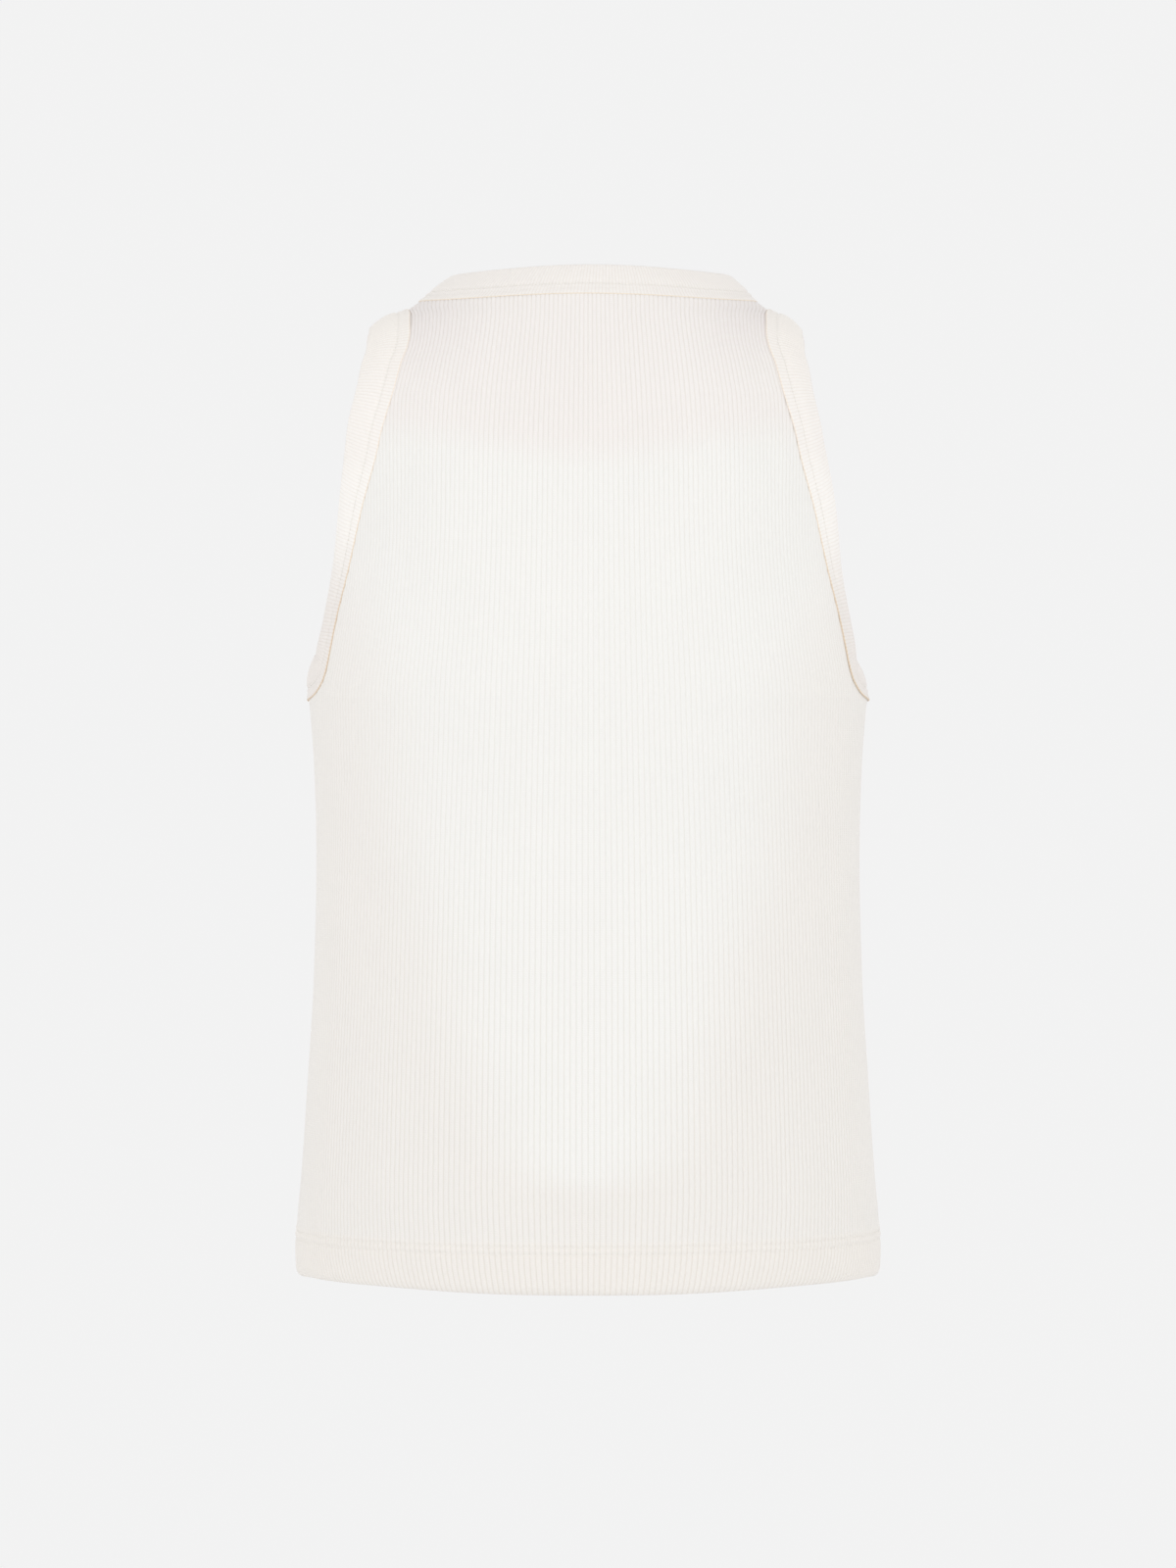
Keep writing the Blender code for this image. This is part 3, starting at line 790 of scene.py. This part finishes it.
# %% Cotton rib
def cotton_rib(name, tone, groove, groove_shade_width, lip_shadow=None):
    """Colour: tone, times painted shade in grooves, less where opened, and on lips, times yarn
    mottling.
    """
    material, tree, shader = shaded_material(name, COTTON)
    axes = add_node(tree, "SeparateXYZ", {0: add_node(tree, "UVMap", uv_map="knit")[0]})
    apart = add_node(tree, "Math", {0: axes[0], 1: 0.5}, operation="PINGPONG")[0]
    # painted shade in the grooves: the groove's colour mixed in near each whole rib, less where the
    # ribs are opened
    sunk = add_node(tree, "MapRange", {0: apart, 1: groove_shade_width, 2: 0.0},
                    interpolation_type="SMOOTHSTEP")[0]
    wide = add_node(tree, "Attribute", attribute_name="opened")["Fac"]
    left = add_node(tree, "MapRange", {0: wide, 3: 1.0, 4: 1.0 - OPENED_EASE})[0]
    sunk = add_node(tree, "Math", {0: sunk, 1: left}, operation="MULTIPLY")[0]

    place = add_node(tree, "TexCoord")["Object"]
    colour, painted_shades = toned(tree, place, tone, "SMOOTHSTEP"), [(sunk, linear(groove))]
    # painted shadow line on the rim of a binding's lip
    if lip_shadow:
        lip = add_node(tree, "MapRange", {0: axes[1], 1: LIP_WIDTH + LIP_FADE, 2: LIP_WIDTH},
                       interpolation_type="SMOOTHSTEP")[0]
        painted_shades.append((lip, toned(tree, place, lip_shadow, "LINEAR")))
    for share, tint in painted_shades:
        colour = add_node(tree, "Mix", {0: share, 6: colour, 7: tint},
                          data_type="RGBA", blend_type="MULTIPLY")[2]
    yarn, patch = (add_node(tree, "TexNoise", {"Vector": place, "Scale": scale, "Detail": detail,
                                               "Roughness": rough})["Fac"]
                   for scale, detail, rough in ((YARN_SCALE, 3.0, 0.6), (PATCH_SCALE, 2.0, 0.5)))
    fine = add_node(tree, "MapRange", {0: yarn, 1: 0.3, 2: 0.7, 3: 0.993, 4: 1.006})[0]
    broad = add_node(tree, "MapRange", {0: patch, 1: 0.3, 2: 0.7, 3: 0.995, 4: 1.005})[0]
    mottle = add_node(tree, "Math", {0: fine, 1: broad}, operation="MULTIPLY")[0]
    colour = add_node(tree, "VectorMath", {0: colour, "Scale": mottle}, operation="SCALE")[0]
    tree.links.new(colour, shader.inputs["Base Color"])

    turn = add_node(tree, "Math", {0: axes[1], 1: 2.0 * np.pi / LOOP_HEIGHT},
                    operation="MULTIPLY")[0]
    lean = add_node(tree, "Math", {0: apart, 1: LOOP_LEAN, 2: turn}, operation="MULTIPLY_ADD")[0]
    loops = add_node(tree, "Math", {0: lean}, operation="SINE")[0]
    rough = add_node(tree, "Math", {0: yarn, 1: YARN_BUMP}, operation="MULTIPLY")[0]
    height = add_node(tree, "Math", {0: loops, 1: LOOP_BUMP, 2: rough},
                      operation="MULTIPLY_ADD")[0]
    bump = add_node(tree, "Bump", {"Height": height, "Strength": 0.35, "Distance": 0.0004})[0]
    tree.links.new(bump, shader.inputs["Normal"])
    return material


# Second colour: the painted shade in the grooves; last, on the bindings: the painted shadow line on
# the lip.
panel_cotton = cotton_rib("cotton_rib_panel", PANEL_TONE_LIGHT_AND_SHADE, "#F7F5F2", 0.20)
neck_cotton = cotton_rib("cotton_rib_neck", NECK_TONE, "#FAF8F6", 0.28, NECK_LIP_SHADOW)
arm_cotton = cotton_rib("cotton_rib_armhole", ARMHOLE_LIGHT_AND_SHADE, "#FAF8F6", 0.28, ARMHOLE_LIP_SHADOW)
print("materials:", panel_cotton.name, neck_cotton.name, arm_cotton.name)

# %% [markdown]
# ## The two panels
# The back has a high neck and the front a lower one. Both start from the same functions, so
# their sides meet edge to edge at the side seams and on the shoulders.

# %% Back and front panels
back_panel = panel("back_rib_panel", BACK, panel_cotton)
front_panel = panel("front_rib_panel", FRONT, panel_cotton)
for piece, node in ((back_panel, "back_panel"), (front_panel, "front_panel")):
    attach(piece, "root")
    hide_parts(node)

# %% [markdown]
# ## Bindings
# Each opening is bound with a strip of the same rib, turned so that its ribs run across it. It
# laps over the panel's cut edge, is stitched down with two rows, and folds over softly at the
# free edge. A curve with a bevel could make a plain tube, but a profile carried round the seam
# keeps the lip, the two stitched grooves and the rounded fold in one surface.

# %% A profile carried round a seam, in millimetres
BAND_RIB_STEPS = np.array([0.0, 0.16, 0.36, 0.64, 0.84])
BAND_GROOVE_DEPTH, BAND_GROOVE_WIDTH = 0.20 * MM, 0.19
STITCH_SINK, SINK_WIDTH = 0.8, 0.65
NECK_STRIP = {"width": 17.5, "lap": 1.0, "height": 0.45, "swell": 0.6, "rows": (2.2, 5.5)}
ARM_STRIP = {"width": 22.5, "lap": 2.0, "height": 0.55, "swell": 2.0, "rows": (0.9, 4.5)}


def band_top(strip, away):
    """Height of a strip's face: flat, swelling between its edges, dipping at its stitches."""
    dips = sum(STITCH_SINK * bell(away - row, SINK_WIDTH) for row in strip["rows"])
    rise = strip["swell"] * np.sin(np.pi * np.clip(away / strip["width"], 0.0, 1.0))
    return strip["height"] + rise - dips


def band_profile(strip):
    """Points (away from the seam, out of the form) in millimetres, round the strip's section."""
    width, lap, height, swell = (strip[key] for key in ("width", "lap", "height", "swell"))
    lip = [(-lap - 0.1, -0.45), (-lap - 0.35, 0.15 * height), (-lap - 0.15, 0.6 * height),
           (-lap + 0.35, 0.95 * height)]
    flat = np.concatenate([[-lap + 1.1], np.linspace(0.08, 0.93, 16) * width])
    top = band_top(strip, flat)
    fold = [(width - 0.5, 0.7 * height), (width + 0.1, 0.1), (width + 0.2, -0.7),
            (width - 0.3, -1.6), (width - 1.3, -2.1)]
    back = [(width * 0.7, -1.9 + 0.7 * swell), (width * 0.4, -1.9 + 0.8 * swell), (2.0, -1.75),
            (0.4, -1.5), (0.4, 0.1)]
    return np.array(lip + list(zip(flat, top)) + fold + back)

# %% Frames and points round a seam
def loop_along(loop):
    """The way a closed loop runs at each point, from the point before it to the point after."""
    return np.roll(loop, -1, axis=0) - np.roll(loop, 1, axis=0)


def closed(loop):
    """A loop with its first point again at its end."""
    return np.concatenate([loop, loop[:1]])


def loop_frames(seam, edge, hand):
    """Unit vectors across the strip and out of the form at each point, and the strip's width."""
    across = unit(edge - seam)
    out = unit(np.cross(loop_along(seam), across) * hand)
    return across, out, np.linalg.norm(edge - seam, axis=1)


def band_points(seam, edge, hand, profile, width):
    """seam + across * away + out * height, with the profile stretched to the strip's width."""
    across, out, wide = loop_frames(seam, edge, hand)
    away = profile[:, 0] * MM
    stretch = np.where(away[None, :] > 0.0, wide[:, None] / (width * MM), 1.0)
    shift = across[:, None] * (away * stretch)[..., None]
    return seam[:, None] + shift + out[:, None] * (profile[:, 1] * MM)[None, :, None]

# %% A binding as one closed skin
def binding(name, seam, edge, hand, ribs, strip, lifts, material):
    """The profile at each step of the loop, plus lip * (1 - t)^2 + middle * sin(180 t) outwards."""
    place = rib_places(ribs, BAND_RIB_STEPS)
    profile = band_profile(strip)
    points = band_points(seam, edge, hand, profile, strip["width"])
    outwards = points - points.mean(axis=1, keepdims=True)
    raised = np.concatenate([[0.2, 0.4, 0.5], np.ones(len(profile) - 5), [0.0, 0.0]])
    groove = BAND_GROOVE_DEPTH * bell(from_groove(place), BAND_GROOVE_WIDTH)
    sunk = groove[:, None] * raised[None, :]
    _, out, _ = loop_frames(seam, edge, hand)
    t = np.clip(profile[:, 0] / strip["width"], 0.0, 1.0)
    lift = lifts[0][:, None] * (1.0 - t) ** 2 + lifts[1][:, None] * np.sin(np.pi * t)
    points = points + out[:, None] * lift[..., None]
    facing = np.sign(np.einsum("ijk,ik->ij", outwards, out))[..., None]
    points = points - out[:, None] * facing * sunk[..., None]
    points = np.pad(points, ((0, 1), (0, 1), (0, 0)), mode="wrap")
    around = lengths(profile)
    uv = np.stack(np.meshgrid(np.append(place, ribs), np.append(around, around[-1] + 1.0),
                              indexing="ij"), axis=-1)
    return make_piece(name, [(points, uv)], [], material)


# %% [markdown]
# ## Neck and armhole bindings
# The strips differ only in the loop that they follow, in their width and in how far they lap
# over the panel. The neck's free edge is a second neckline. An armhole's free edge is a table of
# how far it reaches and how far it tucks in, smoothed round the loop so that it has no kinks.

# %% How far each armhole's strip reaches and tucks in
HANDS = {1.0: "left", -1.0: "right"}
NECK_RIBS, ARM_RIBS = (130, 160), 300
POINTS_PER_RIB = 6
EDGE_COLUMNS = ("height", "left_width", "right_width", "left_tuck", "right_tuck")
ARM_EDGE = (
    (-6.2, 20.8, 19.4, 0.8, 2.8),
    (-8, 21.6, 19.6, 0.8, 2.8),
    (-12, 24, 22.8, 1, 3.6),
    (-18, 26, 24.8, 1.2, 4.6),
    (-24, 26.4, 25.4, 1.4, 5.2),
    (-30, 26.2, 25, 1.8, 5.8),
    (-36, 26, 25, 2, 6.3),
    (-42, 25, 23.8, 2.2, 6.8),
    (-60, 24.4, 23.6, 2, 7.4),
    (-85, 24.8, 23.8, 0.6, 5.6),
    (-100, 24.6, 24, 0.4, 3.4),
    (-130, 23.6, 23.6, 0.4, 1),
    (-147, 23.4, 23.4, 1.6, 2.4),
    (-165, 23.2, 23.2, 2, 3.8),
    (-185, 23.6, 23.6, 3.6, 4.8),
    (-200, 24.5, 24.5, 3.8, 6),
    (-215, 24.8, 24.8, 2.8, 7),
    (-226, 23, 23, 3.8, 8.4),
)

# %% Seams and free edges
def uneven(loop, ribs):
    """The points of an even loop at the uneven steps of each rib."""
    at = rib_places(ribs, BAND_RIB_STEPS) / ribs * len(loop)
    return points_at(at, np.arange(len(loop) + 1), closed(loop))


def smooth_loop(points, passes):
    """Each point moved to the mean of itself and its two neighbours, a few times over."""
    for _ in range(passes):
        points = (np.roll(points, 1, axis=0) + 2.0 * points + np.roll(points, -1, axis=0)) / 4.0
    return points


SEAM_PASSES, EDGE_PASSES, OFFSET_PASSES = 12, 60, 2000
NECK_COUNTS = tuple(n * POINTS_PER_RIB for n in NECK_RIBS)
NECK_LEAN = np.array([-1.8, 0.0, 0.0]) * MM
neck_seam_line = smooth_loop(neck_loop(NECK_SEAM, NECK_COUNTS), SEAM_PASSES)
neck_edge_line = smooth_loop(neck_loop(NECK_EDGE, NECK_COUNTS), SEAM_PASSES) + NECK_LEAN


def armhole_lines(hand):
    """The armhole seam, and the free edge: the form's tangent past the seam, tucked inwards."""
    seam = smooth_loop(armhole_loop(hand, ARM_RIBS * POINTS_PER_RIB), SEAM_PASSES)
    normal = outward(seam)
    across = unit(np.cross(normal, loop_along(seam)) * hand)
    width, tuck = (column(ARM_EDGE, EDGE_COLUMNS, f"{HANDS[hand]}_{name}", seam[:, 2])
                   for name in ("width", "tuck"))
    offset = smooth_loop(across * width[:, None] - normal * tuck[:, None], OFFSET_PASSES)
    return seam, smooth_loop(seam + offset, EDGE_PASSES)


STAND_OFF = {1.0: 0.8 * MM, -1.0: 0.35 * MM}
LIP_HEIGHT, LIP_REACH = -15.0 * MM, 7.0 * MM
SHOULDER_SWELL, SHOULDER_REACH = 0.1 * MM, 12.0 * MM


def shoulder_lifts(line, hand):
    """Behind the shoulder the lip stands off the strap, and on top of it the middle swells."""
    z = line[:, 2]
    return (STAND_OFF[hand] * bell(z - LIP_HEIGHT, LIP_REACH),
            SHOULDER_SWELL * bell(z - SHOULDER_HEIGHT, SHOULDER_REACH))

# %% The three strips
neck_total = sum(NECK_RIBS)
neck_lines = [uneven(line, neck_total) for line in (neck_seam_line, neck_edge_line)]
neck_binding = binding("neck_rib_binding", *neck_lines, 1.0, neck_total, NECK_STRIP,
                       np.zeros((2, len(neck_lines[0]))), neck_cotton)
arm_lines = {hand: armhole_lines(hand) for hand in HANDS}
arm_bindings = []
for hand, word in HANDS.items():
    seam, edge = (uneven(line, ARM_RIBS) for line in arm_lines[hand])
    arm_bindings.append(binding(f"armhole_rib_binding_{word}", seam, edge, hand, ARM_RIBS,
                                ARM_STRIP, shoulder_lifts(seam, hand), arm_cotton))
bands = [neck_binding, *arm_bindings]
for piece, node in zip(bands, ("neck_binding", "armhole_binding_left", "armhole_binding_right")):
    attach(piece, "root")
    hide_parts(node)

# %% [markdown]
# ## Stitches
# Two needles leave two rows of short straight stitches on the hem and on each binding. There are
# almost two thousand. A curve with a bevel for each would be heavy, so each is one small spindle
# of twenty points, and both rows of a piece are one mesh made from arrays.

# %% Rows of stitches
STITCH_PITCH, STITCH_LENGTH = 2.8 * MM, 2.35 * MM
THREAD, FLATNESS = 0.27 * MM, 0.8


def stitch_mesh(name, rows, material):
    """Centres at even steps of each line; centre + along * L cos(a) + thread * r sin(a)."""
    shapes = []
    for line, out in rows:
        length = lengths(line)
        count = int(length[-1] / STITCH_PITCH)
        at = (np.arange(count) + 0.5) / count * length[-1]
        behind, centre, ahead = (points_at(at + k * 0.5 * MM, length, line) for k in (-1, 0, 1))
        along, normal = unit(ahead - behind), unit(points_at(at, length, out))
        shapes.append((centre, along, normal, np.cross(normal, along)))
    centre, along, normal, beside = (np.concatenate(part) for part in zip(*shapes))
    a = np.radians([45.0, 90.0, 135.0])[:, None]
    b = np.radians(np.arange(0.0, 360.0, 60.0))[None, :]
    ring = np.stack(np.broadcast_arrays(np.cos(a) * STITCH_LENGTH / 2.0,
                                        np.sin(a) * np.cos(b) * THREAD,
                                        np.sin(a) * np.sin(b) * THREAD * FLATNESS), axis=-1)
    ends = np.array([[1.0, 0.0, 0.0], [-1.0, 0.0, 0.0]]) * STITCH_LENGTH / 2.0
    shape = np.concatenate([ring.reshape(-1, 3), ends])
    axes = np.stack([along, beside, normal], axis=1)
    points = (centre[:, None] + np.einsum("pk,nkc->npc", shape, axes)).reshape(-1, 3)
    turn = np.arange(6)
    after = (turn + 1) % 6
    quads = np.concatenate([np.stack([turn, after, after + 6, turn + 6], axis=1) + 6 * k
                            for k in (0, 1)])
    tips = np.concatenate([np.stack([turn, np.full(6, 18), after], axis=1),
                           np.stack([after + 12, np.full(6, 19), turn + 12], axis=1)])
    shift = 20 * np.arange(len(centre))[:, None, None]
    faces = (quads + shift).reshape(-1, 4).tolist() + (tips + shift).reshape(-1, 3).tolist()
    mesh = bpy.data.meshes.new(name)
    mesh.from_pydata(points, [], faces)
    piece = mesh_piece(name, mesh, material)
    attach(piece, "root")
    print(name, len(centre), "stitches,", len(faces), "faces")
    return piece

# %% The lines that stitches follow
def hem_lines(side):
    """The two rows of the hem's stitches on one panel, with the form's normals."""
    share = np.linspace(-0.997, 0.997, 1201)
    rows = []
    for z in HEM_STITCHES:
        row = np.full(share.shape, z)
        x = rib_x(side, np.abs(share), row) * np.sign(share)
        base = on_form(side, x, row)
        normal = outward(base)
        lift = hem_relief(row) + crease_relief(side, x, row) + 0.02 * MM
        rows.append((base + normal * lift[:, None], normal))
    return rows


def band_lines(seam, edge, hand, strip):
    """The two rows of a binding's stitches, with the strip's normals."""
    away = np.array(strip["rows"])
    profile = np.stack([away, band_top(strip, away) + 0.05], axis=1)
    points = band_points(seam, edge, hand, profile, strip["width"])
    _, out, _ = loop_frames(seam, edge, hand)
    return [(closed(points[:, k]), closed(out)) for k in range(len(away))]


# %% [markdown]
# ## Sewing thread
# The thread is cotton-wrapped and a little smoother than the knit, so it shows as a slightly
# brighter line. Its twist could be modelled, but on a thread half a millimetre thick it is no
# more than a faint change of tone, so noise does it.

# %% Thread and stitches
def sewing_thread(name):
    """Colour: two close tones mixed by a noise as fine as the thread's twist."""
    material, tree, shader = shaded_material(name, {"Roughness": 0.7, "Specular IOR Level": 0.3})
    place = add_node(tree, "TexCoord")["Object"]
    twist = add_node(tree, "TexNoise", {"Vector": place, "Scale": 1600.0, "Detail": 2.0})["Fac"]
    tint = add_node(tree, "Mix", {0: twist, 6: linear("#F5F3EE"), 7: linear("#E9E5DD")},
                    data_type="RGBA")[2]
    tree.links.new(tint, shader.inputs["Base Color"])
    return material


thread = sewing_thread("cotton_sewing_thread")
hem_threads = [stitch_mesh(f"hem_stitches_{word}", hem_lines(side), thread)
               for side, word in SIDE_NAMES.items()]
neck_threads = stitch_mesh("neck_stitches",
                           band_lines(neck_seam_line, neck_edge_line, 1.0, NECK_STRIP), thread)
arm_threads = [stitch_mesh(f"armhole_stitches_{word}",
                           band_lines(*arm_lines[hand], hand, ARM_STRIP), thread)
               for hand, word in HANDS.items()]

# %% [markdown]
# ## What each piece was cut from
# A sheet of cloth has a flat size before it is sewn. A panel's leaves room for its seams and the
# turned-up hem. A binding's is that of the folded strip, which is what its shell stands for: the
# strip that a maker cuts is about twice as wide, and is sewn on a little stretched.

# %% Cut sizes in metres
CUTS = (
    (back_panel, (0.49, 0.59), 0.225, hem_threads[0], neck_binding),
    (front_panel, (0.49, 0.59), 0.21, hem_threads[1], neck_binding),
    (neck_binding, (0.59, 0.0235), None, neck_threads, back_panel),
    (arm_bindings[0], (0.57, 0.0275), None, arm_threads[0], back_panel),
    (arm_bindings[1], (0.57, 0.0275), None, arm_threads[1], back_panel),
)
for piece, flat, area, sewn, neighbour in CUTS:
    print(piece.name, "cut:", flat, "m, area", area or round(flat[0] * flat[1], 4), "m2")

# %% [markdown]
# ## Studio
# The top hangs in a plain pale studio. A flat backdrop would show its edge from other sides, so a
# seamless bowl of floor, cove and wall goes all the way round and glows evenly, as lit paper does.

# %% Seamless floor and wall
STAGE_TONE = "#F2F2F2"
FLOOR_HEIGHT, FLOOR_RADIUS, COVE, WALL_TOP = -0.95, 3.6, 1.2, 5.5


def studio_bowl():
    """A profile of floor, quarter-circle cove and wall, turned round the vertical."""
    a = np.radians(np.linspace(0.0, 90.0, 16))
    cove = FLOOR_RADIUS + COVE * np.sin(a)
    radius = np.concatenate([[0.0, 1.8, 3.0], cove, [FLOOR_RADIUS + COVE]])
    height = np.concatenate([[0.0] * 3, COVE * (1.0 - np.cos(a)), [WALL_TOP]]) + FLOOR_HEIGHT
    turn = np.radians(np.linspace(0.0, 360.0, 97))[:, None]
    points = np.stack(np.broadcast_arrays(radius * np.cos(turn), radius * np.sin(turn), height),
                      axis=-1)
    material, _, _ = shaded_material("lit_studio_paper", {
        "Base Color": linear("#0A0A0A"), "Roughness": 1.0, "Specular IOR Level": 0.0,
        "Emission Color": linear(STAGE_TONE), "Emission Strength": 1.0})
    return make_piece("studio_bowl", [(points, np.zeros(points.shape[:2] + (2,)))], [], material)


bowl = studio_bowl()
world = bpy.data.worlds.new("studio")
world.use_nodes = True
glow = world.node_tree.nodes["Background"].inputs
glow["Color"].default_value = linear(STAGE_TONE)
glow["Strength"].default_value = 0.9
bpy.context.scene.world = world

# %% [markdown]
# ## Light and camera
# The camera stands level with the middle of the top, 2.6 m behind it, with a long lens, so that
# nothing is distorted. Small lamps would draw hard shadows in the ribs, so there are four large
# soft ones: the strongest behind the camera, one across from it, and one to each side.

# %% Soft light and camera
def aim(obj, place, target):
    """Places an object and turns its -Z axis to a target, with +Y up."""
    obj.location = place
    obj.rotation_euler = (Vector(target) - Vector(place)).to_track_quat("-Z", "Y").to_euler()
    bpy.context.scene.collection.objects.link(obj)


CENTRE = (0.0, 0.0, -0.2755)
SHOULDERS = (0.0, 0.0, -0.10)
for name, place, target, size, power in (
        ("front_soft_light", (0.0, 3.6, 0.3), CENTRE, 2.2, 13.5),
        ("far_soft_light", (0.0, -3.6, 0.3), CENTRE, 2.2, 11.0),
        ("left_soft_light", (2.4, 1.6, 0.75), SHOULDERS, 1.6, 7.0),
        ("right_soft_light", (-2.4, 1.6, 0.75), SHOULDERS, 1.6, 7.0)):
    lamp = bpy.data.lights.new(name, "AREA")
    lamp.shape = "DISK"
    lamp.size = size
    lamp.energy = power
    aim(bpy.data.objects.new(name, lamp), place, target)

lens = bpy.data.cameras.new("camera")
lens.lens = 104.46
lens.sensor_width = 36.0
lens.clip_end = 50.0
camera = bpy.data.objects.new("camera", lens)
aim(camera, (0.0, 2.6, CENTRE[2]), CENTRE)
bpy.context.scene.camera = camera
bpy.context.scene.view_settings.view_transform = "Standard"
